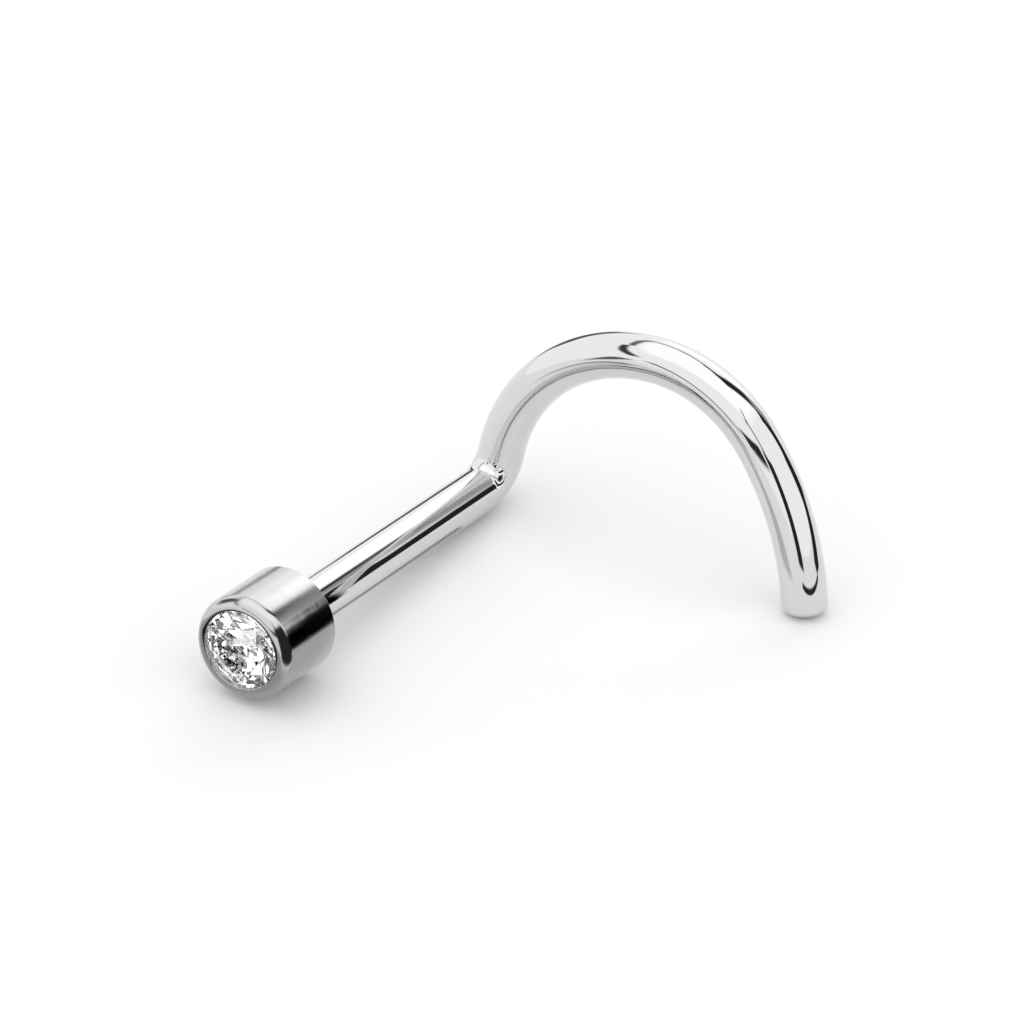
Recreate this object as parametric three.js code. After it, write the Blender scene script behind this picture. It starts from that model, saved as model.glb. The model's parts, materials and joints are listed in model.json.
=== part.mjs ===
// A nose stud of the twisted kind: a round stone in a small turned cup, a straight post,
// a tight bend, and a hook that lies square to the post and ends in a rounded square tip.
// Millimetres, +Z up. The stud lies on the surface z = 0 as it comes to rest by itself, on
// the back edge of the cup, the tight bend and the tip. The post runs towards +Y.
import * as THREE from 'three';
import { ConvexGeometry } from 'three/addons/geometries/ConvexGeometry.js';
import { ConvexHull } from 'three/addons/math/ConvexHull.js';

// Wire: its thickness, and how its two ends are finished
const WIRE_DIAMETER = 0.8;
const TIP_ROUNDING = 0.17;
const SEATED_END_CHAMFER = 0.05;

// Post: from the flat back of the cup to the plane of the hook, with the tight bend between
const POST_LENGTH = 6.27;
const TIGHT_BEND_RADIUS = 0.57;
const TIGHT_BEND_DEGREES = 90;

// Hook: three arcs that run into each other, up from the bend, over the crown and down the tail
const HOOK_RISE_RADIUS = 3.17;
const HOOK_RISE_DEGREES = 80;
const HOOK_CROWN_RADIUS = 2.43;
const HOOK_CROWN_DEGREES = 53;
const HOOK_TAIL_RADIUS = 5.14;
const HOOK_TAIL_DEGREES = 33.6;

// Stone: a round brilliant, its cut given as shares of its diameter
const STONE_DIAMETER = 1.5;
const CROWN_SHARE = 0.14;
const PAVILION_SHARE = 0.42;
const GIRDLE_SHARE = 0.03;
const TABLE_SHARE = 0.57;
const STAR_SHARE = 0.5;
const LOWER_FACET_SHARE = 0.76;
const STONE_FOLDS = 8;

// Cup: turned round the stone and the wire, with a rolled lip in front and a chamfer behind
const CUP_LENGTH = 1.51;
const CUP_WALL = 0.1725;
const CUP_BACK_CHAMFER = 0.04;
const LIP_HOLD = 0.05;
const LIP_THICKNESS = 0.07;
const LIP_ROUNDING = 0.2;
const SEAT_LEDGE = 0.25;
const ROOM_BELOW_STONE = 0.12;
const WEB_THICKNESS = 0.2;

// Clearance between pieces that touch on the real stud
const SEAT_CLEARANCE = 0.02;

// Fineness of the facets
const WIRE_SIDES = 32;
const CUP_SIDES = 64;
const ROUNDING_STEPS = 5;
const TIGHT_BEND_STEPS = 10;
const HOOK_RISE_STEPS = 16;
const HOOK_CROWN_STEPS = 12;
const HOOK_TAIL_STEPS = 8;

const WIRE_RADIUS = WIRE_DIAMETER / 2;
const STONE_RADIUS = STONE_DIAMETER / 2;
const CUP_RADIUS = STONE_RADIUS + CUP_WALL;

// The stone's rings, from the plane through the middle of its girdle. A kite facet is flat,
// so a ring between two kites lies as high as the kites do at that distance from the axis.
const HALF_GIRDLE = (STONE_DIAMETER * GIRDLE_SHARE) / 2;
const HALF_FOLD = Math.PI / STONE_FOLDS;
const CROWN_HEIGHT = STONE_DIAMETER * CROWN_SHARE;
const PAVILION_DEPTH = STONE_DIAMETER * PAVILION_SHARE;
const TABLE_RADIUS = STONE_RADIUS * TABLE_SHARE;
const STAR_RADIUS = THREE.MathUtils.lerp(TABLE_RADIUS * Math.cos(HALF_FOLD), STONE_RADIUS, STAR_SHARE);
const STAR_HEIGHT = (CROWN_HEIGHT * (STONE_RADIUS - STAR_RADIUS * Math.cos(HALF_FOLD)))
  / (STONE_RADIUS - TABLE_RADIUS);
const LOWER_RADIUS = STONE_RADIUS * (1 - LOWER_FACET_SHARE);
const LOWER_DEPTH = PAVILION_DEPTH * (1 - (LOWER_RADIUS * Math.cos(HALF_FOLD)) / STONE_RADIUS);
const CROWN_SLOPE = STAR_HEIGHT / (STONE_RADIUS - STAR_RADIUS);
const PAVILION_SLOPE = LOWER_DEPTH / (STONE_RADIUS - LOWER_RADIUS);

// Places along the axis of the cup, whose flat back is at 0 and whose lip faces -Y
const FRONT = -CUP_LENGTH;
const POCKET_RADIUS = STONE_RADIUS + SEAT_CLEARANCE;
const LIP_INNER_RADIUS = STONE_RADIUS - LIP_HOLD;
const LIP_EDGE = FRONT + LIP_THICKNESS;
const POCKET_TOP = LIP_EDGE + CROWN_SLOPE * (POCKET_RADIUS - LIP_INNER_RADIUS);
const GIRDLE_PLACE = POCKET_TOP + SEAT_CLEARANCE + HALF_GIRDLE;
const POCKET_END = GIRDLE_PLACE + HALF_GIRDLE + SEAT_CLEARANCE;
const SEAT_BORE_RADIUS = STONE_RADIUS - SEAT_LEDGE;
const SEAT_END = POCKET_END + PAVILION_SLOPE * (POCKET_RADIUS - SEAT_BORE_RADIUS);
const BORE_FLOOR = GIRDLE_PLACE + HALF_GIRDLE + PAVILION_DEPTH + ROOM_BELOW_STONE;
const SOCKET_FLOOR = BORE_FLOOR + WEB_THICKNESS;
const SOCKET_RADIUS = WIRE_RADIUS + SEAT_CLEARANCE;

const polishedSteel = new THREE.MeshStandardMaterial({ color: 0xd9dbdd, roughness: 0.08, metalness: 1 });
const satinSteel = new THREE.MeshStandardMaterial({ color: 0xb5b6b8, roughness: 0.3, metalness: 1 });
const clearStone = new THREE.MeshStandardMaterial({ color: 0xf4f8ff, roughness: 0.02, metalness: 0 });

// Points of a turned profile along a quarter round, from one angle to another about its centre
function quarterRound(centreRadius, centrePlace, radius, fromDegrees, toDegrees) {
  const points = [];
  for (let step = 0; step <= ROUNDING_STEPS; step += 1) {
    const angle = THREE.MathUtils.degToRad(
      THREE.MathUtils.lerp(fromDegrees, toDegrees, step / ROUNDING_STEPS),
    );
    points.push(new THREE.Vector2(
      centreRadius + radius * Math.cos(angle),
      centrePlace + radius * Math.sin(angle),
    ));
  }
  return points;
}

// Points on a circle square to the Y axis, at equal angles
function ring(count, radius, place, startAngle) {
  const points = [];
  for (let index = 0; index < count; index += 1) {
    const angle = startAngle + (2 * Math.PI * index) / count;
    points.push(new THREE.Vector3(radius * Math.cos(angle), place, radius * Math.sin(angle)));
  }
  return points;
}

// The stretches of the wire in order. A bend turns it towards one side of its own cross-section.
const ACROSS = new THREE.Vector3(1, 0, 0);
const ALONG = new THREE.Vector3(0, 1, 0);
const UPWARD = new THREE.Vector3(0, 0, 1);
const SEATED_END = SOCKET_FLOOR + SEAT_CLEARANCE;
const WIRE_STRETCHES = [
  { length: POST_LENGTH - TIGHT_BEND_RADIUS - SEATED_END },
  { radius: TIGHT_BEND_RADIUS, turn: TIGHT_BEND_DEGREES, towards: UPWARD, steps: TIGHT_BEND_STEPS },
  { radius: HOOK_RISE_RADIUS, turn: HOOK_RISE_DEGREES, towards: ACROSS, steps: HOOK_RISE_STEPS },
  { radius: HOOK_CROWN_RADIUS, turn: HOOK_CROWN_DEGREES, towards: ACROSS, steps: HOOK_CROWN_STEPS },
  { radius: HOOK_TAIL_RADIUS, turn: HOOK_TAIL_DEGREES, towards: ACROSS, steps: HOOK_TAIL_STEPS },
];

function stretchLength(stretch) {
  return stretch.length ?? stretch.radius * THREE.MathUtils.degToRad(stretch.turn);
}

// Place and turn of the wire's cross-section at a distance from its seated end
function wireFrame(distance) {
  const place = new THREE.Vector3(0, SEATED_END, 0);
  const turned = new THREE.Quaternion();
  let left = distance;
  for (const stretch of WIRE_STRETCHES) {
    const used = Math.min(left, stretchLength(stretch));
    if (stretch.towards) {
      const angle = used / stretch.radius;
      const axis = ALONG.clone().cross(stretch.towards);
      const bend = new THREE.Quaternion().setFromAxisAngle(axis, angle);
      const step = stretch.towards.clone().multiplyScalar(stretch.radius * (1 - Math.cos(angle)));
      step.addScaledVector(ALONG, stretch.radius * Math.sin(angle));
      place.add(step.applyQuaternion(turned));
      turned.multiply(bend);
    } else {
      place.addScaledVector(ALONG.clone().applyQuaternion(turned), used);
    }
    left -= used;
  }
  return { place, turned };
}

// The wire as a straight turned bar, with a ring at each step of each bend, then bent to its path
function makeWire() {
  const profile = [
    new THREE.Vector2(0, 0),
    new THREE.Vector2(WIRE_RADIUS - SEATED_END_CHAMFER, 0),
    new THREE.Vector2(WIRE_RADIUS, SEATED_END_CHAMFER),
  ];
  const fullLength = WIRE_STRETCHES.reduce((sum, stretch) => sum + stretchLength(stretch), 0);
  const roundingStart = fullLength - TIP_ROUNDING;
  let distance = 0;
  for (const stretch of WIRE_STRETCHES) {
    const steps = stretch.steps ?? 1;
    for (let step = 0; step < steps; step += 1) {
      const station = distance + (stretchLength(stretch) * step) / steps;
      if (station > SEATED_END_CHAMFER && station < roundingStart) {
        profile.push(new THREE.Vector2(WIRE_RADIUS, station));
      }
    }
    distance += stretchLength(stretch);
  }
  profile.push(...quarterRound(WIRE_RADIUS - TIP_ROUNDING, roundingStart, TIP_ROUNDING, 0, 90));
  profile.push(new THREE.Vector2(0, fullLength));

  const geometry = new THREE.LatheGeometry(profile, WIRE_SIDES);
  const position = geometry.getAttribute('position');
  const point = new THREE.Vector3();
  for (let index = 0; index < position.count; index += 1) {
    point.fromBufferAttribute(position, index);
    const frame = wireFrame(point.y);
    point.setY(0).applyQuaternion(frame.turned).add(frame.place);
    position.setXYZ(index, point.x, point.y, point.z);
  }
  geometry.computeVertexNormals();
  return geometry;
}

// The cup as one turned profile: bore floor, seat, pocket, lip, outside, back and socket
function makeCup() {
  const rounding = Math.min(LIP_ROUNDING, CUP_RADIUS - LIP_INNER_RADIUS);
  const profile = [
    new THREE.Vector2(0, BORE_FLOOR),
    new THREE.Vector2(SEAT_BORE_RADIUS, BORE_FLOOR),
    new THREE.Vector2(SEAT_BORE_RADIUS, SEAT_END),
    new THREE.Vector2(POCKET_RADIUS, POCKET_END),
    new THREE.Vector2(POCKET_RADIUS, POCKET_TOP),
    new THREE.Vector2(LIP_INNER_RADIUS, LIP_EDGE),
    new THREE.Vector2(LIP_INNER_RADIUS, FRONT),
    ...quarterRound(CUP_RADIUS - rounding, FRONT + rounding, rounding, -90, 0),
    new THREE.Vector2(CUP_RADIUS, -CUP_BACK_CHAMFER),
    new THREE.Vector2(CUP_RADIUS - CUP_BACK_CHAMFER, 0),
    new THREE.Vector2(SOCKET_RADIUS, 0),
    new THREE.Vector2(SOCKET_RADIUS, SOCKET_FLOOR),
    new THREE.Vector2(0, SOCKET_FLOOR),
  ];
  return new THREE.LatheGeometry(profile, CUP_SIDES);
}

// The stone as the solid that its facet corners span: table, stars, kites, girdle and pavilion
function makeStone() {
  const upperGirdle = GIRDLE_PLACE - HALF_GIRDLE;
  const lowerGirdle = GIRDLE_PLACE + HALF_GIRDLE;
  const geometry = new ConvexGeometry([
    ...ring(STONE_FOLDS, TABLE_RADIUS, upperGirdle - CROWN_HEIGHT, 0),
    ...ring(STONE_FOLDS, STAR_RADIUS, upperGirdle - STAR_HEIGHT, HALF_FOLD),
    ...ring(2 * STONE_FOLDS, STONE_RADIUS, upperGirdle, 0),
    ...ring(2 * STONE_FOLDS, STONE_RADIUS, lowerGirdle, 0),
    ...ring(STONE_FOLDS, LOWER_RADIUS, lowerGirdle + LOWER_DEPTH, HALF_FOLD),
    new THREE.Vector3(0, lowerGirdle + PAVILION_DEPTH, 0),
  ]);
  return geometry;
}

function named(name, geometry, material) {
  const mesh = new THREE.Mesh(geometry, material);
  mesh.name = name;
  return mesh;
}

// Corners of a mesh in threes, one three for each triangle
function corners(mesh) {
  const geometry = mesh.geometry.index ? mesh.geometry.toNonIndexed() : mesh.geometry;
  const position = geometry.getAttribute('position');
  return Array.from({ length: position.count }, (_, index) => (
    new THREE.Vector3().fromBufferAttribute(position, index)
  ));
}

// Centre of mass of closed meshes of like density, from a wedge to the origin for each triangle
function centreOfMass(points) {
  const sum = new THREE.Vector3();
  let volume = 0;
  for (let index = 0; index < points.length; index += 3) {
    const [a, b, c] = points.slice(index, index + 3);
    const wedge = a.dot(b.clone().cross(c)) / 6;
    volume += wedge;
    sum.addScaledVector(a.clone().add(b).add(c), wedge / 4);
  }
  return sum.divideScalar(volume);
}

// The direction that ends up pointing down when the stud is set down with its hook upright:
// it rocks onto the face of its hull below its centre of mass until that face stays the same
function restingDown(points) {
  const centre = centreOfMass(points);
  const { faces } = new ConvexHull().setFromPoints(points);
  const dropTo = (face, down) => (face.constant - face.normal.dot(centre)) / face.normal.dot(down);
  let down = UPWARD.clone().negate();
  let settled = false;
  while (!settled) {
    const below = faces.filter((face) => face.normal.dot(down) > 0);
    const under = below.reduce((best, face) => (dropTo(face, down) < dropTo(best, down) ? face : best));
    settled = under.normal.distanceTo(down) < Number.EPSILON;
    down = under.normal.clone();
  }
  return down;
}

const group = new THREE.Group();
group.add(
  named('cup', makeCup(), satinSteel),
  named('stone', makeStone(), clearStone),
  named('wire', makeWire(), polishedSteel),
);

// Lay the stud down, turn its post to +Y and put the middle of its footprint at the origin
const up = restingDown(group.children.flatMap(corners)).negate();
const across = ALONG.clone().cross(up).normalize();
const forward = up.clone().cross(across);
group.quaternion.setFromRotationMatrix(new THREE.Matrix4().makeBasis(across, forward, up).transpose());
const box = new THREE.Box3().setFromObject(group, true);
group.position.set(-(box.min.x + box.max.x) / 2, -(box.min.y + box.max.y) / 2, -box.min.z);

export default group;
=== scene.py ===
"""A nose stud as it lies by itself on a pale floor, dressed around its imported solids.

The stud is one polished wire, bent into a straight post and a hook, seated in the back of a
small turned cup that holds a round faceted stone under its rolled lip.
"""

import json
import logging
import math
from dataclasses import dataclass, field
from enum import Enum
from typing import Optional, Union

import bpy
from mathutils import Matrix, Quaternion, Vector


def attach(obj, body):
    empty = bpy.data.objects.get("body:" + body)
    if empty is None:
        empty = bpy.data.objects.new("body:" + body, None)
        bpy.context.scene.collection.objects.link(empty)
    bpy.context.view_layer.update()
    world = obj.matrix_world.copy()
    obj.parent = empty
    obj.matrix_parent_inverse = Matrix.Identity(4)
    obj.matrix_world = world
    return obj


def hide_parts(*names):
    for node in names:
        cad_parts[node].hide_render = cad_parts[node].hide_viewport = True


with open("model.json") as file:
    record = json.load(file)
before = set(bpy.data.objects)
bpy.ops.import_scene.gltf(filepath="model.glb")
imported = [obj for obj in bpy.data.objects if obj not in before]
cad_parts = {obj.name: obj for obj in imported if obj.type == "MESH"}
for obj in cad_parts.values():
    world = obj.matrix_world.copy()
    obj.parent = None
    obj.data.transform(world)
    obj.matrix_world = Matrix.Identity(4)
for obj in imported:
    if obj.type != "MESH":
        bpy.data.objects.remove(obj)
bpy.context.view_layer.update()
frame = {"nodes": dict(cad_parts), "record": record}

LOG = logging.getLogger("nose_stud")
MM = 0.001
WHITE = (1.0, 1.0, 1.0, 1.0)
UP = Vector((0.0, 0.0, 1.0))

# How far the hook leans over the post's axis at rest, in degrees.
HOOK_LEAN = 7.625
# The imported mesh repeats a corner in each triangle. These find each corner of a flat face once.
CORNER_DECIMALS = 8
SAME_HEIGHT = 0.001 * MM
# The angle between two faces, in degrees, from which their shared edge shows as sharp.
SHARP_ANGLE = 25.0
# How far ahead of the viewer, along a direction of length one, a far panel shows, and the least
# depth that is divided by.
PANEL_DEPTH = 0.02
LEAST_DEPTH = 0.001
# How often light may bounce on its way through the stone, and between polished surfaces.
STONE_BOUNCES = 24
STEEL_BOUNCES = 16

Term = Union["Signal", float]
# A radius and a place along the axis for each point, and the same with a rounding for a corner.
Outline = list[tuple[float, float]]
Corner = tuple[float, float, float]


class Signal:
    """A number that varies over a surface or along a curve, held by a socket, for plain sums."""

    def __init__(self, graph: "Graph", socket: bpy.types.NodeSocket) -> None:
        """Wraps a socket.

        Args:
            graph: the tree that the socket is in.
            socket: an output socket that gives one number.
        """
        self.graph = graph
        self.socket = socket

    def _sum(self, operation: str, first: Term, second: Term) -> "Signal":
        """Adds one Math node.

        Args:
            operation: the Math node's operation.
            first: its first value.
            second: its second value.

        Returns:
            The node's result.
        """
        node = self.graph.node("ShaderNodeMath", {"operation": operation}, {0: first, 1: second})
        return Signal(self.graph, node.outputs[0])

    def __add__(self, other: Term) -> "Signal":
        """This value plus another."""
        return self._sum("ADD", self, other)

    def __radd__(self, other: Term) -> "Signal":
        """Another value plus this one."""
        return self._sum("ADD", other, self)

    def __sub__(self, other: Term) -> "Signal":
        """This value less another."""
        return self._sum("SUBTRACT", self, other)

    def __rsub__(self, other: Term) -> "Signal":
        """Another value less this one."""
        return self._sum("SUBTRACT", other, self)

    def __mul__(self, other: Term) -> "Signal":
        """This value times another."""
        return self._sum("MULTIPLY", self, other)

    def __rmul__(self, other: Term) -> "Signal":
        """Another value times this one."""
        return self._sum("MULTIPLY", other, self)

    def __truediv__(self, other: Term) -> "Signal":
        """This value divided by another."""
        return self._sum("DIVIDE", self, other)

    def __gt__(self, other: Term) -> "Signal":
        """One where this value is above another, else nought."""
        return self._sum("GREATER_THAN", self, other)

    def __lt__(self, other: Term) -> "Signal":
        """One where this value is below another, else nought."""
        return self._sum("LESS_THAN", self, other)

    def __pow__(self, other: Term) -> "Signal":
        """This value to a power."""
        return self._sum("POWER", self, other)

    def __abs__(self) -> "Signal":
        """This value without its sign."""
        return self._sum("ABSOLUTE", self, 0.0)

    def at_least(self, floor: Term) -> "Signal":
        """The larger of this value and another."""
        return self._sum("MAXIMUM", self, floor)

    def eased(self, start: float, end: float) -> "Signal":
        """Nought before start and one after end, with a smooth change between them.

        Args:
            start: the value that gives nought.
            end: the value that gives one.

        Returns:
            The eased value.
        """
        node = self.graph.node(
            "ShaderNodeMapRange",
            {"interpolation_type": "SMOOTHSTEP"},
            {"Value": self, "From Min": start, "From Max": end},
        )
        return Signal(self.graph, node.outputs[0])


class Graph:
    """A node tree in the making, with one way to add a node."""

    def __init__(self, tree: bpy.types.NodeTree) -> None:
        """Starts on a tree, which may already hold nodes.

        Args:
            tree: the tree to add to.
        """
        self.tree = tree

    def node(
        self, kind: str, settings: Optional[dict] = None, inputs: Optional[dict] = None
    ) -> bpy.types.Node:
        """Adds a node, sets it up and then fills its sockets.

        Args:
            kind: the node's type.
            settings: what to set on the node itself.
            inputs: values, sockets or signals for its inputs, by name or number.

        Returns:
            The node.
        """
        made = self.tree.nodes.new(kind)
        for name, value in (settings or {}).items():
            setattr(made, name, value)
        for name, value in (inputs or {}).items():
            self.fill(made.inputs[name], value)
        return made

    def fill(self, socket: bpy.types.NodeSocket, value: object) -> None:
        """Links a socket or signal to an input, or sets the input to a plain value.

        Args:
            socket: the input.
            value: what goes in.
        """
        source = value.socket if isinstance(value, Signal) else value
        if isinstance(source, bpy.types.NodeSocket):
            self.tree.links.new(source, socket)
        else:
            socket.default_value = source

    def signal(
        self,
        kind: str,
        settings: Optional[dict] = None,
        inputs: Optional[dict] = None,
        output: Union[str, int] = 0,
    ) -> Signal:
        """Adds a node and gives one of its outputs as a signal.

        Args:
            kind: the node's type.
            settings: what to set on the node itself.
            inputs: values, sockets or signals for its inputs.
            output: the output's name or number.

        Returns:
            The output.
        """
        return Signal(self, self.node(kind, settings, inputs).outputs[output])

    def dot(self, vector: bpy.types.NodeSocket, axis: Vector) -> Signal:
        """How far a vector reaches along an axis.

        Args:
            vector: the vector.
            axis: the axis, of length one.

        Returns:
            The reach.
        """
        ends = {0: vector, 1: tuple(axis)}
        return self.signal("ShaderNodeVectorMath", {"operation": "DOT_PRODUCT"}, ends, "Value")

    def noise(self, point: bpy.types.NodeSocket, per_mm: float, detail: float) -> Signal:
        """Soft noise round a half.

        Args:
            point: where it is taken.
            per_mm: how many patches there are in a millimetre.
            detail: how many finer layers it has.

        Returns:
            The noise.
        """
        return self.signal(
            "ShaderNodeTexNoise", inputs={"Vector": point, "Scale": per_mm / MM, "Detail": detail}
        )

    def colour(self, red: Term, green: Term, blue: Term) -> bpy.types.NodeSocket:
        """A colour put together from its three parts."""
        parts = {"Red": red, "Green": green, "Blue": blue}
        return self.node("ShaderNodeCombineColor", inputs=parts).outputs[0]

    def bump(self, height: Signal, depth: float) -> bpy.types.NodeSocket:
        """The normal of a surface with fine relief.

        Args:
            height: the relief, from nought to one.
            depth: how high one stands.

        Returns:
            The normal.
        """
        relief = {"Strength": 1.0, "Distance": depth, "Height": height}
        return self.node("ShaderNodeBump", inputs=relief).outputs[0]


def object_point(graph: Graph) -> bpy.types.NodeSocket:
    """The point being shaded, in the frame that every piece shares."""
    return graph.node("ShaderNodeTexCoord").outputs["Object"]


def blank_material(name: str) -> tuple[bpy.types.Material, Graph]:
    """Makes a material with nothing in it.

    Args:
        name: the material's name.

    Returns:
        The material, and its tree ready for nodes.
    """
    material = bpy.data.materials.new(name)
    material.use_nodes = True
    material.node_tree.nodes.clear()
    return material, Graph(material.node_tree)


def close_material(graph: Graph, shader: bpy.types.Node) -> None:
    """Sends a shader to the material's surface.

    Args:
        graph: the material's tree.
        shader: the last shader node.
    """
    graph.node("ShaderNodeOutputMaterial", inputs={"Surface": shader.outputs[0]})


@dataclass(frozen=True)
class PolishedSteel:
    """Drawn wire, tumbled to a mirror: bright, with the faintest ripple left in it."""

    reflectance: float = 0.68
    reflectance_play: float = 0.03
    blue_share: float = 1.008
    roughness: float = 0.045
    roughness_play: float = 0.035
    patches_per_mm: float = 1.6
    ripple_per_mm: float = 2.2
    ripple_depth: float = 0.0006 * MM

    def make(self) -> bpy.types.Material:
        """Makes the finish."""
        material, graph = blank_material("polished_steel")
        point = object_point(graph)
        patches = graph.noise(point, self.patches_per_mm, 3.0)
        ripple = graph.noise(point, self.ripple_per_mm, 0.0)
        grey = self.reflectance + (patches - 0.5) * self.reflectance_play
        shader = graph.node(
            "ShaderNodeBsdfPrincipled",
            inputs={
                "Base Color": graph.colour(grey, grey, grey * self.blue_share),
                "Metallic": 1.0,
                "Roughness": self.roughness + (patches - 0.5).at_least(0.0) * self.roughness_play,
                "Normal": graph.bump(ripple, self.ripple_depth),
            },
        )
        close_material(graph, shader)
        return material


@dataclass(frozen=True)
class TurnedSteel:
    """Satin steel with the lathe's fine rings round the cup's axis, and a bright-cut seat."""

    axis_point: Vector
    axis: Vector
    reflectance: float = 0.54
    reflectance_play: float = 0.05
    roughness: float = 0.11
    roughness_play: float = 0.06
    clouds_per_mm: float = 1.3
    rings_per_mm: float = 38.0
    ring_depth: float = 0.0012 * MM
    seat_reflectance: float = 0.92
    seat_radius: float = 0.79 * MM
    seat_front: float = -1.44 * MM

    def make(self) -> bpy.types.Material:
        """Makes the finish."""
        material, graph = blank_material("turned_steel")
        point = object_point(graph)
        from_axis = graph.node(
            "ShaderNodeVectorMath", {"operation": "SUBTRACT"}, {0: point, 1: tuple(self.axis_point)}
        )
        along = graph.dot(from_axis.outputs[0], self.axis)
        rings = graph.signal(
            "ShaderNodeTexNoise",
            {"noise_dimensions": "1D"},
            {"W": along * (self.rings_per_mm / MM), "Scale": 1.0, "Detail": 4.0, "Roughness": 0.7},
        )
        cloud = graph.noise(point, self.clouds_per_mm, 2.0)
        out = graph.signal(
            "ShaderNodeVectorMath", {"operation": "LENGTH"}, {0: from_axis.outputs[0]}, "Value"
        )
        across = (out * out - along * along).at_least(0.0) ** 0.5
        seat = (across < self.seat_radius) * (along > self.seat_front)
        turned = self.reflectance + (rings - 0.5) * self.reflectance_play
        grey = turned + seat * (self.seat_reflectance - turned)
        shader = graph.node(
            "ShaderNodeBsdfPrincipled",
            inputs={
                "Base Color": graph.colour(grey, grey, grey),
                "Metallic": 1.0,
                "Roughness": self.roughness + (rings + cloud - 1.0) * self.roughness_play,
                "Normal": graph.bump(rings, self.ring_depth),
            },
        )
        close_material(graph, shader)
        return material


@dataclass(frozen=True)
class ClearStone:
    """A clear cut stone with a high polish and a trace of haze."""

    refraction: float = 2.45
    clearness: float = 0.985
    clearness_play: float = 0.015
    clouds_per_mm: float = 2.0
    haze: float = 0.004

    def make(self) -> bpy.types.Material:
        """Makes the finish."""
        material, graph = blank_material("clear_stone")
        point = object_point(graph)
        cloud = graph.noise(point, self.clouds_per_mm, 2.0)
        tint = self.clearness + cloud * self.clearness_play
        shader = graph.node(
            "ShaderNodeBsdfPrincipled",
            inputs={
                "Base Color": graph.colour(tint, tint, 1.0),
                "Roughness": cloud * self.haze,
                "IOR": self.refraction,
                "Transmission Weight": 1.0,
            },
        )
        close_material(graph, shader)
        return material


@dataclass(frozen=True)
class PaleFloor:
    """A smooth matt white surface."""

    shade: float = 0.86
    roughness: float = 0.75
    shine: float = 0.2

    def make(self) -> bpy.types.Material:
        """Makes the finish."""
        material, graph = blank_material("pale_floor")
        shader = graph.node(
            "ShaderNodeBsdfPrincipled",
            inputs={
                "Base Color": (self.shade, self.shade, self.shade, 1.0),
                "Roughness": self.roughness,
                "Specular IOR Level": self.shine,
            },
        )
        close_material(graph, shader)
        return material


@dataclass(frozen=True)
class RestPose:
    """Where the stud lies at rest: the cup's back, and the axes along the post and of the hook."""

    seat: Vector
    along: Vector
    towards_tip: Vector
    up_hook: Vector

    @classmethod
    def from_frame(cls, lean: float) -> "RestPose":
        """Reads the post's axis from the record and the middle of the cup's back from its solid.

        Args:
            lean: how far the hook leans over the post's axis, in degrees.

        Returns:
            The pose.
        """
        mount = next(m for m in frame["record"]["mounts"] if m["name"] == "nostril_seat")
        along = Vector(mount["axis"]).normalized()
        cup = frame["nodes"]["cup"].data
        corners = {tuple(round(x, CORNER_DECIMALS) for x in vertex.co) for vertex in cup.vertices}
        highest = max(Vector(c).dot(along) for c in corners)
        back = [Vector(c) for c in corners if Vector(c).dot(along) > highest - SAME_HEIGHT]
        seat = sum(back, Vector()) / len(back)
        level = along.cross(UP).normalized()
        turn = Quaternion(along, math.radians(lean))
        towards_tip = turn @ level
        return cls(seat, along, towards_tip, towards_tip.cross(along))

    def matrix(self) -> Matrix:
        """The turn and place that carry the stud's own axes to the frame."""
        turn = Matrix((self.towards_tip, self.along, self.up_hook)).transposed()
        return Matrix.Translation(self.seat) @ turn.to_4x4()


class Side(Enum):
    """The side of its own section that the wire is bent towards."""

    UP = (0.0, 0.0, 1.0)
    TOWARDS_TIP = (1.0, 0.0, 0.0)


@dataclass(frozen=True)
class Bend:
    """One arc of the wire."""

    radius: float
    degrees: float
    side: Side

    @property
    def length(self) -> float:
        """The arc's length."""
        return self.radius * math.radians(self.degrees)


def mesh_object(name: str, mesh: bpy.types.Mesh) -> bpy.types.Object:
    """Puts a mesh in the scene, at the origin.

    Args:
        name: the object's name.
        mesh: its mesh.

    Returns:
        The object.
    """
    made = bpy.data.objects.new(name, mesh)
    bpy.context.scene.collection.objects.link(made)
    return made


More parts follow.
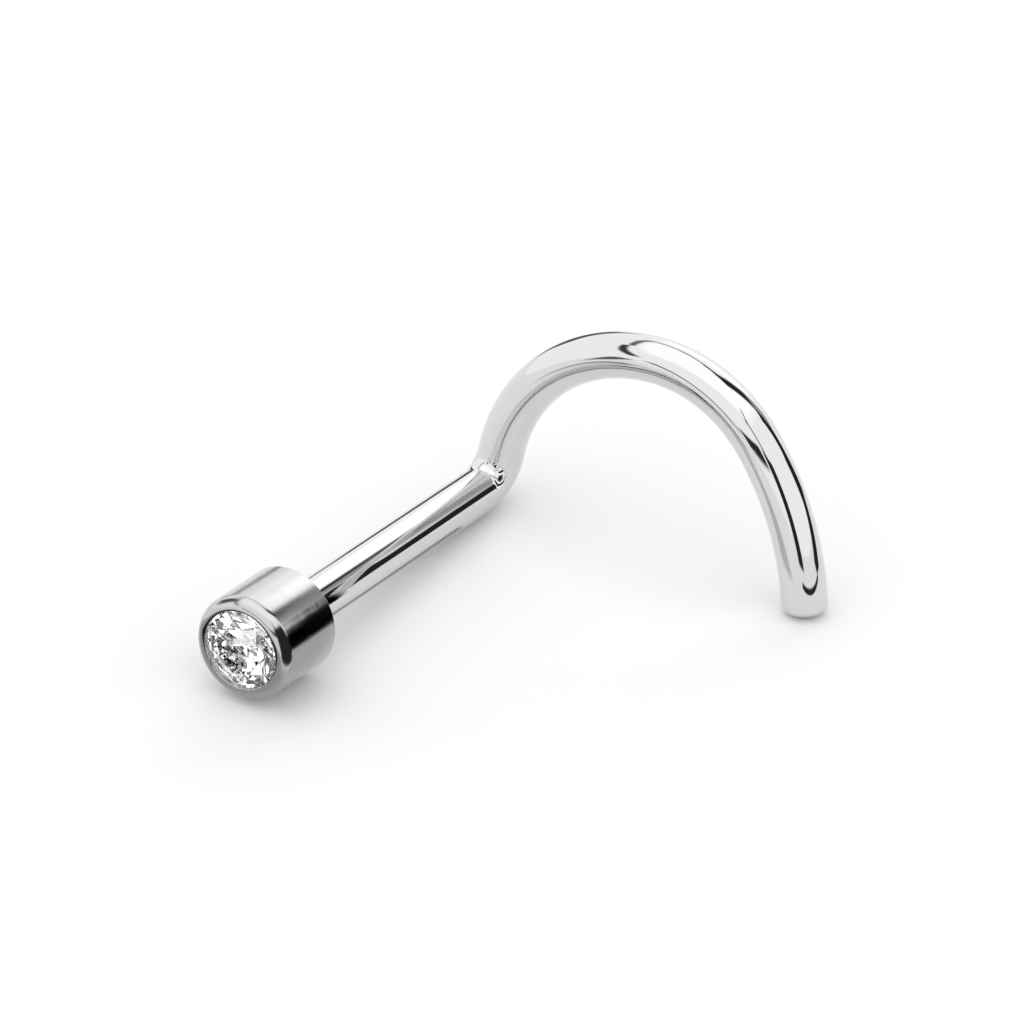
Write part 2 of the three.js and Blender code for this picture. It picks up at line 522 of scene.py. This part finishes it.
@dataclass
class Wire:
    """The post and the hook, one polished wire with a rounded square tip."""

    pose: RestPose
    steel: bpy.types.Material
    diameter: float = 0.793 * MM
    seated_end: float = -0.337 * MM
    reach: float = 6.27 * MM
    tip_rounding: float = 0.178 * MM
    seated_rounding: float = 0.05 * MM
    sides: int = 72
    degrees_per_step: float = 1.25
    rounding_steps: int = 8
    tight_bend: Bend = Bend(0.57 * MM, 90.0, Side.UP)
    hook: tuple[Bend, ...] = (
        Bend(3.17 * MM, 80.0, Side.TOWARDS_TIP),
        Bend(2.43 * MM, 53.0, Side.TOWARDS_TIP),
        Bend(5.14 * MM, 33.6, Side.TOWARDS_TIP),
    )

    @property
    def straight(self) -> float:
        """The length of the straight run, from the seated end to the tight bend."""
        return self.reach - self.tight_bend.radius - self.seated_end

    @property
    def length(self) -> float:
        """The wire's whole length."""
        return self.straight + self.tight_bend.length + sum(bend.length for bend in self.hook)

    def point(self, distance: float) -> Vector:
        """A point of the centreline.

        Args:
            distance: how far along the wire it is, from the seated end.

        Returns:
            The point, on the stud's own axes.
        """
        heading = Vector((0.0, 1.0, 0.0))
        used = min(distance, self.straight)
        place = Vector((0.0, self.seated_end, 0.0)) + heading * used
        turned = Quaternion()
        left = distance - used
        for bend in (self.tight_bend, *self.hook):
            used = min(left, bend.length)
            angle = used / bend.radius
            side = Vector(bend.side.value)
            ahead = bend.radius * math.sin(angle)
            aside = bend.radius * (1.0 - math.cos(angle))
            place += turned @ (heading * ahead + side * aside)
            turned = turned @ Quaternion(heading.cross(side), angle)
            left -= used
        return place

    def stations(self) -> list[float]:
        """Distances along the wire where its path has a point, close together in the bends."""
        found = [0.0, self.straight]
        start = self.straight
        for bend in (self.tight_bend, *self.hook):
            steps = round(bend.degrees / self.degrees_per_step)
            found += [start + bend.length * step / steps for step in range(1, steps + 1)]
            start += bend.length
        for step in range(1, self.rounding_steps + 1):
            share = 1.0 - math.cos(0.5 * math.pi * step / self.rounding_steps)
            found.append(self.seated_rounding * share)
            found.append(self.length - self.tip_rounding * share)
        return sorted(found)

    def path(self) -> bpy.types.Object:
        """The centreline as a line of edges, in the frame."""
        carry = self.pose.matrix()
        points = [carry @ self.point(distance) for distance in self.stations()]
        mesh = bpy.data.meshes.new("wire_path")
        mesh.from_pydata(points, [(i, i + 1) for i in range(len(points) - 1)], [])
        return mesh_object("polished_wire", mesh)

    def build(self) -> bpy.types.Object:
        """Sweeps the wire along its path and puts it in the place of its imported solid."""
        path = self.path()
        values = {
            "Radius": self.diameter / 2.0,
            "Tip Rounding": self.tip_rounding,
            "Seated Rounding": self.seated_rounding,
            "Sides": self.sides,
            "Finish": self.steel,
        }
        wire = realized(path, sweep_tree(), values)
        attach(wire, "root")
        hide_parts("wire")
        return wire


def sweep_tree() -> bpy.types.NodeTree:
    """A tree that sweeps a round section along a path and rounds both of its ends.

    Returns:
        The tree, whose named inputs are the section's sizes and the finish.
    """
    tree = bpy.data.node_groups.new("wire_sweep", "GeometryNodeTree")
    inputs = {
        "Path": "NodeSocketGeometry",
        "Radius": "NodeSocketFloat",
        "Tip Rounding": "NodeSocketFloat",
        "Seated Rounding": "NodeSocketFloat",
        "Sides": "NodeSocketInt",
        "Finish": "NodeSocketMaterial",
    }
    for name, kind in inputs.items():
        tree.interface.new_socket(name, in_out="INPUT", socket_type=kind)
    tree.interface.new_socket("Wire", in_out="OUTPUT", socket_type="NodeSocketGeometry")
    graph = Graph(tree)
    given = graph.node("NodeGroupInput").outputs
    curve = graph.node("GeometryNodeMeshToCurve", inputs={"Mesh": given["Path"]})
    done = graph.signal("GeometryNodeSplineParameter", output="Length")
    full = graph.signal("GeometryNodeSplineLength", output="Length")
    radius = Signal(graph, given["Radius"])
    cut = end_cut(full - done, Signal(graph, given["Tip Rounding"])) + end_cut(
        done, Signal(graph, given["Seated Rounding"])
    )
    section = graph.node(
        "GeometryNodeCurvePrimitiveCircle", inputs={"Resolution": given["Sides"], "Radius": 1.0}
    )
    swept = graph.node(
        "GeometryNodeCurveToMesh",
        inputs={
            "Curve": curve.outputs[0],
            "Profile Curve": section.outputs[0],
            "Scale": radius - cut,
            "Fill Caps": True,
        },
    )
    smooth = graph.node("GeometryNodeSetShadeSmooth", inputs={"Geometry": swept.outputs[0]})
    real = graph.node("GeometryNodeRealizeInstances", inputs={"Geometry": smooth.outputs[0]})
    dressed = graph.node(
        "GeometryNodeSetMaterial", inputs={"Geometry": real.outputs[0], "Material": given["Finish"]}
    )
    graph.node("NodeGroupOutput", inputs={"Wire": dressed.outputs[0]})
    return tree


def end_cut(distance: Signal, rounding: Signal) -> Signal:
    """How much a rounded end takes off the radius.

    Args:
        distance: how far a point is from that end.
        rounding: the radius of the rounding.

    Returns:
        The cut, which is nought past the rounding.
    """
    short = (rounding - distance).at_least(0.0)
    return rounding - (rounding * rounding - short * short).at_least(0.0) ** 0.5


def realized(base: bpy.types.Object, tree: bpy.types.NodeTree, values: dict) -> bpy.types.Object:
    """Runs a geometry tree on an object and keeps its result as a plain mesh.

    Args:
        base: the object that the tree starts from, which keeps its name.
        tree: the tree.
        values: what goes in each named input.

    Returns:
        The object, with the finished mesh and no modifier.
    """
    modifier = base.modifiers.new("shape", "NODES")
    modifier.node_group = tree
    identifiers = {
        item.name: item.identifier for item in tree.interface.items_tree if item.in_out == "INPUT"
    }
    for name, value in values.items():
        modifier[identifiers[name]] = value
    base.update_tag()
    graph = bpy.context.evaluated_depsgraph_get()
    mesh = bpy.data.meshes.new_from_object(base.evaluated_get(graph), depsgraph=graph)
    base.modifiers.remove(modifier)
    base.data = mesh
    return base


@dataclass
class Cup:
    """The setting: a turned cup with a rolled lip, the stone's seat and a socket for the wire."""

    pose: RestPose
    steel: bpy.types.Material
    radius: float = 0.9214 * MM
    length: float = 1.51 * MM
    chamfer: float = 0.04 * MM
    lip_rounding: float = 0.2 * MM
    opening_radius: float = 0.7 * MM
    lip_thickness: float = 0.07 * MM
    pocket_radius: float = 0.77 * MM
    pocket_top: float = -1.383 * MM
    pocket_end: float = -1.298 * MM
    bore_radius: float = 0.5 * MM
    bore_floor: float = -0.56 * MM
    seat_slope: float = 0.86
    socket_radius: float = 0.42 * MM
    socket_floor: float = -0.36 * MM
    edge_rounding: float = 0.012 * MM
    sides: int = 160

    def profile(self) -> Outline:
        """The turned outline, from the bore's floor round the lip to the socket's floor."""
        front = -self.length
        seat_end = self.pocket_end + self.seat_slope * (self.pocket_radius - self.bore_radius)
        corners = [
            (0.0, self.bore_floor, 0.0),
            (self.bore_radius, self.bore_floor, 0.0),
            (self.bore_radius, seat_end, 0.0),
            (self.pocket_radius, self.pocket_end, 0.0),
            (self.pocket_radius, self.pocket_top, 0.0),
            (self.opening_radius, front + self.lip_thickness, 0.0),
            (self.opening_radius, front, self.edge_rounding),
            (self.radius, front, self.lip_rounding),
            (self.radius, -self.chamfer, self.edge_rounding),
            (self.radius - self.chamfer, 0.0, self.edge_rounding),
            (self.socket_radius, 0.0, self.edge_rounding),
            (self.socket_radius, self.socket_floor, 0.0),
            (0.0, self.socket_floor, 0.0),
        ]
        return rounded_outline(corners)

    def build(self) -> bpy.types.Object:
        """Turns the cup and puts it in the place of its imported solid."""
        mesh = turned_mesh("turned_cup", self.profile(), self.sides, self.pose.matrix())
        mesh.materials.append(self.steel)
        cup = mesh_object("turned_cup", mesh)
        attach(cup, "root")
        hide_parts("cup")
        return cup


def rounded_outline(corners: list[Corner], steps: int = 12) -> Outline:
    """Rounds the corners of an open outline.

    Args:
        corners: a radius, a place along the axis and a rounding for each corner.
        steps: the number of points in a rounded corner.

    Returns:
        The outline's points.
    """
    points = []
    for index, (across, along, rounding) in enumerate(corners):
        corner = Vector((across, along))
        if rounding == 0.0:
            points.append((across, along))
            continue
        before = (Vector(corners[index - 1][:2]) - corner).normalized()
        after = (Vector(corners[index + 1][:2]) - corner).normalized()
        half = before.angle(after) / 2.0
        centre = corner + (before + after).normalized() * (rounding / math.sin(half))
        start = corner + before * (rounding / math.tan(half)) - centre
        end = corner + after * (rounding / math.tan(half)) - centre
        sweep = start.angle_signed(end)
        for step in range(steps + 1):
            spoke = start.copy()
            spoke.rotate(Matrix.Rotation(-sweep * step / steps, 2))
            points.append(tuple(centre + spoke))
    return points


def turned_mesh(name: str, profile: Outline, sides: int, carry: Matrix) -> bpy.types.Mesh:
    """Turns an outline that starts and ends on the axis into a closed mesh.

    Args:
        name: the mesh's name.
        profile: a radius and a place along the axis for each point.
        sides: the number of points in each ring.
        carry: the turn and place that carry it to the frame.

    Returns:
        The mesh, with faces pointing out and its sharp edges marked.
    """
    points = [carry @ Vector((0.0, profile[0][1], 0.0))]
    rings = profile[1:-1]
    for radius, place in rings:
        for side in range(sides):
            angle = 2.0 * math.pi * side / sides
            spoke = Vector((radius * math.sin(angle), place, radius * math.cos(angle)))
            points.append(carry @ spoke)
    points.append(carry @ Vector((0.0, profile[-1][1], 0.0)))
    last = len(points) - 1
    faces = []
    for side in range(sides):
        following = (side + 1) % sides
        faces.append((0, 1 + side, 1 + following))
        for ring in range(len(rings) - 1):
            low = 1 + ring * sides
            high = low + sides
            faces.append((low + side, high + side, high + following, low + following))
        top = 1 + (len(rings) - 1) * sides
        faces.append((top + side, last, top + following))
    mesh = bpy.data.meshes.new(name)
    mesh.from_pydata(points, [], faces)
    mesh.shade_smooth()
    mesh.set_sharp_from_angle(angle=math.radians(SHARP_ANGLE))
    return mesh


@dataclass
class Stone:
    """The round brilliant, whose packed facets are already its true ones."""

    finish: bpy.types.Material

    def dress(self) -> bpy.types.Object:
        """Gives the stone's own solid its finish."""
        stone = frame["nodes"]["stone"]
        for slot in stone.material_slots:
            slot.material = self.finish
        return stone


def directions(azimuth: float, elevation: float, roll: float) -> tuple[Vector, Vector, Vector]:
    """The axes of something that is looked at from the stud.

    Args:
        azimuth: the way to it, from +Y towards +X, in degrees.
        elevation: how high it is, in degrees.
        roll: how far it is turned about the line of sight, in degrees.

    Returns:
        The direction to it, and the directions of its width and its height.
    """
    turn, rise, lean = math.radians(azimuth), math.radians(elevation), math.radians(roll)
    flat = Vector((math.sin(turn), math.cos(turn), 0.0))
    facing = flat * math.cos(rise) + UP * math.sin(rise)
    across = Vector((math.cos(turn), -math.sin(turn), 0.0))
    upward = across.cross(facing)
    width = across * math.cos(lean) + upward * math.sin(lean)
    return facing, width, upward * math.cos(lean) - across * math.sin(lean)


def rectangle(name: str, half_width: float, half_height: float) -> bpy.types.Mesh:
    """A flat rectangle round the origin, facing up.

    Args:
        name: the mesh's name.
        half_width: half its size along X.
        half_height: half its size along Y.

    Returns:
        The mesh.
    """
    x, y = half_width, half_height
    mesh = bpy.data.meshes.new(name)
    mesh.from_pydata([(-x, -y, 0), (x, -y, 0), (x, y, 0), (-x, y, 0)], [], [(0, 1, 2, 3)])
    return mesh


@dataclass(frozen=True)
class Panel:
    """A flat lit or dark panel of the studio, far away, seen as a soft-edged rectangle.

    All its angles are in degrees. Its level is how bright it is.
    """

    azimuth: float
    elevation: float
    half_width: float
    half_height: float
    level: float
    softness: float = 2.5
    roll: float = 0.0

    def mask(self, graph: Graph, direction: bpy.types.NodeSocket) -> Signal:
        """Where the panel shows.

        Args:
            graph: the world's tree.
            direction: the direction looked in.

        Returns:
            One on the panel and nought off it.
        """
        axes = directions(self.azimuth, self.elevation, self.roll)
        depth, x, y = (graph.dot(direction, axis) for axis in axes)
        soft = math.tan(math.radians(self.softness))
        safe = depth.at_least(LEAST_DEPTH)
        inside = depth > PANEL_DEPTH
        for offset, half in ((x, self.half_width), (y, self.half_height)):
            edge = math.tan(math.radians(half))
            inside = inside * abs(offset / safe).eased(edge + soft, edge - soft)
        return inside


@dataclass(frozen=True)
class Card:
    """A small card near the stud, which shows from one side and only in what mirrors it.

    Its place, half sizes and softness are in millimetres, and its angles in degrees.
    """

    place: tuple[float, float, float]
    azimuth: float
    half_width: float
    half_height: float
    level: float = 0.02
    softness: float = 0.12
    roll: float = 0.0
    elevation: float = 0.0

    def build(self, number: int) -> bpy.types.Object:
        """Puts the card in its place.

        Args:
            number: tells the cards apart.

        Returns:
            The card.
        """
        facing, width, height = directions(self.azimuth, self.elevation, self.roll)
        name = f"card_{number}"
        reach = [(half + self.softness) * MM for half in (self.half_width, self.half_height)]
        mesh = rectangle(name, *reach)
        mesh.materials.append(self.finish(name))
        card = mesh_object(name, mesh)
        turn = Matrix((width, height, -facing)).transposed().to_4x4()
        card.matrix_world = Matrix.Translation(Vector(self.place) * MM) @ turn
        card.visible_camera = False
        card.visible_diffuse = False
        card.visible_transmission = False
        card.visible_shadow = False
        return card

    def finish(self, name: str) -> bpy.types.Material:
        """An even tone that fades out at the edges and is clear from behind.

        Args:
            name: the material's name.

        Returns:
            The material.
        """
        material, graph = blank_material(name)
        point = graph.node("ShaderNodeSeparateXYZ", inputs={"Vector": object_point(graph)})
        behind = graph.signal("ShaderNodeNewGeometry", output="Backfacing")
        shown = 1.0 - behind
        for axis, half in (("X", self.half_width), ("Y", self.half_height)):
            offset = abs(Signal(graph, point.outputs[axis]))
            shown = shown * offset.eased((half + self.softness) * MM, (half - self.softness) * MM)
        clear = graph.node("ShaderNodeBsdfTransparent")
        tone = graph.node("ShaderNodeEmission", inputs={"Color": WHITE, "Strength": self.level})
        shader = graph.node(
            "ShaderNodeMixShader", inputs={"Fac": shown, 1: clear.outputs[0], 2: tone.outputs[0]}
        )
        close_material(graph, shader)
        material.cycles.emission_sampling = "NONE"
        return material


@dataclass
class Studio:
    """The floor, the soft light all round and the camera, which looks from the photograph's angle.

    The ambient, backdrop and sparkle levels are what the steel mirrors, what the camera sees and
    what the stone gathers. The camera's angles are in degrees.
    """

    floor_finish: bpy.types.Material
    floor_half_side: float = 1.5
    ambient: float = 1.2
    backdrop: float = 1.0
    sparkle: float = 2.0
    panels: list[Panel] = field(default_factory=list)
    stone_panels: list[Panel] = field(default_factory=list)
    cards: list[Card] = field(default_factory=list)
    azimuth: float = 32.476
    elevation: float = 32.764
    roll: float = 1.359
    target: Vector = field(default_factory=lambda: Vector((-0.789, 0.912, 1.854)) * MM)
    frame_width: float = 17.067 * MM
    lens: float = 800.0
    sensor: float = 36.0
    nearest: float = 0.1
    farthest: float = 20.0

    def build(self) -> None:
        """Makes the floor, the surroundings, the near cards and the camera."""
        self.floor()
        self.surroundings()
        for number, card in enumerate(self.cards):
            card.build(number)
        self.camera()

    def floor(self) -> bpy.types.Object:
        """The surface that the stud rests on."""
        mesh = rectangle("floor", self.floor_half_side, self.floor_half_side)
        mesh.materials.append(self.floor_finish)
        made = mesh_object("floor", mesh)
        return made

    def surroundings(self) -> None:
        """The light all round, one way for steel, one inside the stone and one for the camera."""
        world = bpy.data.worlds.new("studio")
        world.use_nodes = True
        world.node_tree.nodes.clear()
        graph = Graph(world.node_tree)
        direction = graph.node("ShaderNodeTexCoord").outputs["Generated"]
        paths = graph.node("ShaderNodeLightPath").outputs
        around = self.glow(graph, self.laid(graph, direction, self.ambient, self.panels))
        sparkle = self.glow(graph, self.laid(graph, direction, self.sparkle, self.stone_panels))
        plain = self.glow(graph, self.backdrop)
        lit = graph.node(
            "ShaderNodeMixShader",
            inputs={"Fac": paths["Is Transmission Ray"], 1: around, 2: sparkle},
        )
        seen = graph.node(
            "ShaderNodeMixShader",
            inputs={"Fac": paths["Is Camera Ray"], 1: lit.outputs[0], 2: plain},
        )
        graph.node("ShaderNodeOutputWorld", inputs={"Surface": seen.outputs[0]})
        world.cycles.sampling_method = "NONE"
        bpy.context.scene.world = world

    @staticmethod
    def glow(graph: Graph, level: Term) -> bpy.types.NodeSocket:
        """White light of one level.

        Args:
            graph: the world's tree.
            level: how bright it is.

        Returns:
            The background's output.
        """
        node = graph.node("ShaderNodeBackground", inputs={"Color": WHITE, "Strength": level})
        return node.outputs[0]

    @staticmethod
    def laid(
        graph: Graph, direction: bpy.types.NodeSocket, glow: float, panels: list[Panel]
    ) -> Term:
        """An even glow with panels laid over it in order.

        Args:
            graph: the world's tree.
            direction: the direction looked in.
            glow: the level between the panels.
            panels: the panels, the lowest first.

        Returns:
            The level.
        """
        level: Term = glow
        for panel in panels:
            level = level + panel.mask(graph, direction) * (panel.level - level)
        return level

    def camera(self) -> bpy.types.Object:
        """A long lens at the photograph's angle."""
        data = bpy.data.cameras.new("camera")
        data.lens = self.lens
        data.sensor_width = self.sensor
        distance = self.frame_width * self.lens / self.sensor
        back = directions(180.0 - self.azimuth, self.elevation, 0.0)[0]
        data.clip_start = distance * self.nearest
        data.clip_end = distance * self.farthest
        made = bpy.data.objects.new("camera", data)
        bpy.context.scene.collection.objects.link(made)
        made.rotation_mode = "QUATERNION"
        made.location = self.target + back * distance
        upright = (-back).to_track_quat("-Z", "Y")
        made.rotation_quaternion = upright @ Quaternion((0, 0, 1), math.radians(self.roll))
        bpy.context.scene.camera = made
        return made


# What the steel mirrors far away. Each panel covers those before it.
FAR_PANELS = [
    # The light above, the bright window behind the hook and the grey beside it.
    Panel(0.0, 90.0, 38.0, 38.0, level=1.45, softness=8.0),
    Panel(-10.0, 28.0, 20.0, 12.0, level=1.5, softness=5.0),
    Panel(-4.0, 34.0, 9.0, 7.0, level=1.9, softness=5.0),
    Panel(25.0, 25.0, 10.0, 13.0, level=0.4, softness=5.0),
    # Thin strips that draw the line round the crown of the hook.
    Panel(-85.0, 48.5, 12.0, 1.6, level=0.15, softness=1.0),
    Panel(-58.0, 44.0, 9.0, 1.6, level=0.2, softness=1.0, roll=-22.0),
    Panel(-39.0, 45.0, 9.0, 2.2, level=0.25, softness=1.5, roll=43.0),
    Panel(-16.0, 57.5, 11.0, 2.6, level=0.2, softness=1.5, roll=34.0),
    Panel(4.0, 63.0, 6.0, 3.4, level=0.1, softness=1.5, roll=-8.0),
    # The dark along the post and over the cup.
    Panel(25.0, 52.0, 8.0, 18.0, level=0.02, softness=3.0),
    Panel(39.0, 8.5, 8.5, 8.5, level=0.02, softness=2.0),
    # The lines down the hook from its crown, and the far edge of the post and the lip.
    Panel(165.0, 12.0, 17.0, 3.6, level=0.03, softness=1.5, roll=-26.0),
    Panel(-163.0, 6.0, 14.0, 2.2, level=0.08, softness=1.5, roll=24.0),
    Panel(-126.0, 34.0, 21.0, 2.0, level=0.05, softness=1.0, roll=37.0),
    Panel(-47.0, 2.0, 12.0, 5.0, level=0.1, softness=3.0),
    # The slanting line that crosses between them.
    Panel(136.0, 47.5, 9.0, 1.2, level=0.25, softness=1.0, roll=-61.0),
    Panel(138.5, 29.0, 13.0, 2.0, level=0.05, softness=1.5, roll=73.0),
]

# What the stone gathers: a dark spot where the camera stands, a ring of dark bars and two overhead.
STONE_BAR_AZIMUTHS = (15.0, 50.0, 75.0, 98.0, 121.0, 172.0, 195.0, 218.0, 241.0, 275.0, 320.0)
STONE_PANELS = [
    Panel(147.5, 32.8, 11.0, 11.0, level=0.0, softness=1.0),
    *(
        Panel(azimuth, 42.0, 4.5, 27.0, level=0.0, softness=0.7, roll=8.0)
        for azimuth in STONE_BAR_AZIMUTHS
    ),
    Panel(30.0, 84.0, 5.0, 30.0, level=0.0, softness=0.7, roll=30.0),
    Panel(120.0, 84.0, 5.0, 30.0, level=0.0, softness=0.7, roll=60.0),
]

# What the steel mirrors close by. A card with an elevation of -90 lies on the floor, facing up.
NEAR_CARDS = [
    # The upper edge of the post.
    Card((-13.0, 15.0, 1.85), -46.0, 3.5, 1.85, level=0.1, softness=0.3),
    # The dark line along the post.
    Card((5.8, 8.4, 4.6), 30.0, 0.95, 3.0, softness=0.15),
    Card((6.95, 7.1, 1.35), 49.0, 2.7, 0.8, roll=-32.0),
    # The lines down the tail of the hook, and where they meet at its tip.
    Card((9.8, -3.9, 3.75), 142.0, 1.5, 3.75, softness=0.25),
    Card((6.37, 2.8, 0.1), 112.0, 2.6, 0.13, softness=0.05),
    # Painted shade under the cup, a grey sheet on the floor, and the black band above it.
    Card((0.3, -1.0, 0.03), 127.0, 3.2, 0.9, level=0.6, softness=0.3, elevation=-90.0),
    Card((0.5, -1.2, 1.35), 60.0, 1.8, 1.0, level=0.0, softness=0.15),
    # The line up the start of the hook, and the dark flecks at the tight bend.
    Card((-2.32, 0.4, 0.03), 0.0, 0.12, 1.9, level=0.3, softness=0.1, elevation=-90.0),
    Card((-1.3, 3.25, 1.13), 88.0, 0.3, 0.25, softness=0.08),
    # The dark arc of the lip beside the band.
    Card((-0.4, -5.0, 1.8), 95.0, 2.4, 1.7, level=0.03, softness=0.3),
    # Painted shade in the lower lip and stone's table, from floor sheets; the arc of the upper lip.
    Card((-4.4, -6.6, 0.02), 0.0, 3.5, 2.6, level=0.45, softness=1.0, elevation=-90.0),
    Card((-4.4, -7.1, 0.03), 0.0, 1.5, 1.5, level=0.0, softness=0.3, elevation=-90.0),
    Card((-5.9, -4.4, 3.5), -97.0, 0.9, 1.2, level=0.1, softness=0.5, elevation=20.0),
]


def set_light_paths() -> None:
    """Lets light bounce often enough to cross the stone, and shows white as white."""
    scene = bpy.context.scene
    scene.cycles.max_bounces = STONE_BOUNCES
    scene.cycles.glossy_bounces = STEEL_BOUNCES
    scene.cycles.transmission_bounces = STONE_BOUNCES
    scene.view_settings.view_transform = "Standard"


def report(piece: bpy.types.Object) -> None:
    """Logs a piece's name and how fine its mesh is.

    Args:
        piece: the finished piece.
    """
    LOG.info("%s: %d faces", piece.name, len(piece.data.polygons))


def main() -> None:
    """Builds the studio and then the stud, piece by piece."""
    logging.basicConfig(level=logging.INFO, format="%(message)s")
    floor = PaleFloor().make()
    Studio(floor, panels=FAR_PANELS, stone_panels=STONE_PANELS, cards=NEAR_CARDS).build()
    set_light_paths()
    pose = RestPose.from_frame(lean=HOOK_LEAN)
    report(Wire(pose, PolishedSteel().make()).build())
    report(Cup(pose, TurnedSteel(pose.seat, pose.along).make()).build())
    report(Stone(ClearStone().make()).dress())


if __name__ == "__main__":
    main()
